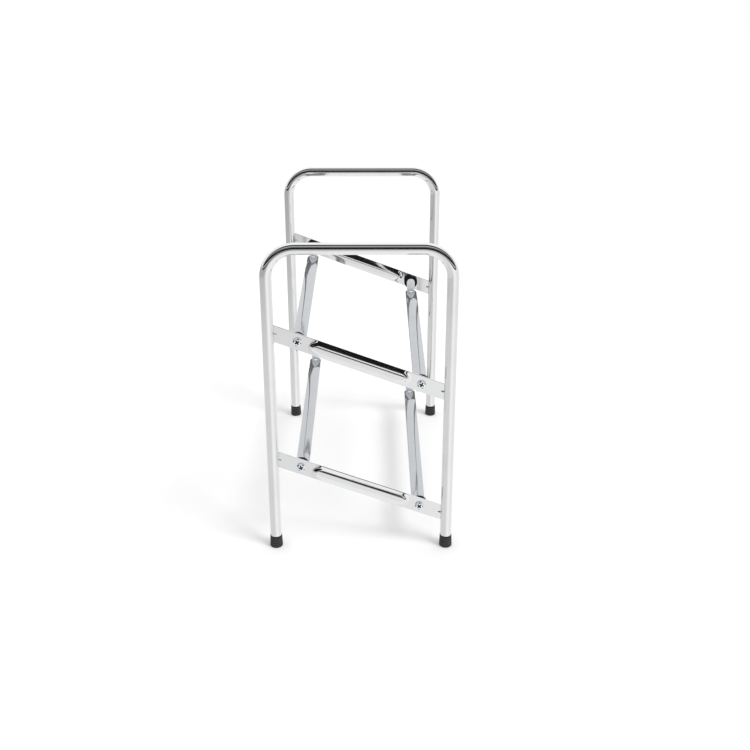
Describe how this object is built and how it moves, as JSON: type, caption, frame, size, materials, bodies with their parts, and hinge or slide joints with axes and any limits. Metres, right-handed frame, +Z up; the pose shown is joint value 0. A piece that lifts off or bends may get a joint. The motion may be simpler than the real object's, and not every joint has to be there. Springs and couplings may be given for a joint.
{
  "type": "folding luggage rack",
  "caption": "Free-standing folding luggage rack: upright chromed tube frames joined by pressed swinging arms, so the rear frame folds sideways against the front one.",
  "frame": {"origin": "floor level, midway between the two frames and midway between their legs", "axes": "+X to the right along the rails, +Y from the front frame to the rear frame, +Z up"},
  "size_m": [0.3138, 0.5218, 0.546],
  "materials": {
    "frame_tube": "polished",
    "slanted_bar": "polished",
    "arm": "polished",
    "lug": "polished",
    "spacer": "satin black",
    "foot": "matt black",
    "screw": "bright zinc plated",
    "rivet": "bright zinc plated"
  },
  "bodies": {
    "front_frame": {"front_tube": "frame_tube", "front_foot_left": "foot", "front_foot_right": "foot", "front_bar_upper": "slanted_bar", "front_bar_lower": "slanted_bar", "front_spacer_upper_left": "spacer", "front_spacer_upper_right": "spacer", "front_spacer_lower_left": "spacer", "front_spacer_lower_right": "spacer", "front_lug_upper_left": "lug", "front_lug_upper_right": "lug", "front_lug_lower_left": "lug", "front_lug_lower_right": "lug", "front_screw_upper_left": "screw", "front_screw_upper_right": "screw", "front_screw_lower_left": "screw", "front_screw_lower_right": "screw", "front_rivet_upper_left": "rivet", "front_rivet_upper_right": "rivet", "front_rivet_lower_left": "rivet", "front_rivet_lower_right": "rivet"},
    "rear_frame": {"rear_tube": "frame_tube", "rear_foot_left": "foot", "rear_foot_right": "foot", "rear_bar_upper": "slanted_bar", "rear_bar_lower": "slanted_bar", "rear_spacer_upper_left": "spacer", "rear_spacer_upper_right": "spacer", "rear_spacer_lower_left": "spacer", "rear_spacer_lower_right": "spacer", "rear_lug_upper_left": "lug", "rear_lug_upper_right": "lug", "rear_lug_lower_left": "lug", "rear_lug_lower_right": "lug", "rear_screw_upper_left": "screw", "rear_screw_upper_right": "screw", "rear_screw_lower_left": "screw", "rear_screw_lower_right": "screw", "rear_rivet_upper_left": "rivet", "rear_rivet_upper_right": "rivet", "rear_rivet_lower_left": "rivet", "rear_rivet_lower_right": "rivet"},
    "arm_upper_left": {"arm_upper_left": "arm"},
    "arm_upper_right": {"arm_upper_right": "arm"},
    "arm_lower_left": {"arm_lower_left": "arm"},
    "arm_lower_right": {"arm_lower_right": "arm"}
  },
  "joints": [
    {"name": "fold", "type": "hinge", "parent": "front_frame", "child": "arm_upper_left", "pos_m": [-0.0995, -0.2255, 0.3657], "axis": [0, 0, 1], "range_deg": [-90, 90]},
    {"name": "arm_upper_right_hinge", "type": "hinge", "parent": "front_frame", "child": "arm_upper_right", "pos_m": [0.0995, -0.2255, 0.2909], "axis": [0, 0, 1], "range_deg": [-90, 90]},
    {"name": "arm_lower_left_hinge", "type": "hinge", "parent": "front_frame", "child": "arm_lower_left", "pos_m": [-0.0995, -0.2255, 0.1382], "axis": [0, 0, 1], "range_deg": [-90, 90]},
    {"name": "arm_lower_right_hinge", "type": "hinge", "parent": "front_frame", "child": "arm_lower_right", "pos_m": [0.0995, -0.2255, 0.0634], "axis": [0, 0, 1], "range_deg": [-90, 90]},
    {"name": "rear_frame_hinge", "type": "hinge", "parent": "arm_upper_left", "child": "rear_frame", "pos_m": [-0.0995, 0.2255, 0.3657], "axis": [0, 0, 1], "range_deg": [-90, 90]}
  ],
  "couplings": [
    {"joint": "arm_upper_right_hinge", "follows": "fold", "ratio": 1},
    {"joint": "arm_lower_left_hinge", "follows": "fold", "ratio": 1},
    {"joint": "arm_lower_right_hinge", "follows": "fold", "ratio": 1},
    {"joint": "rear_frame_hinge", "follows": "fold", "ratio": -1}
  ]
}
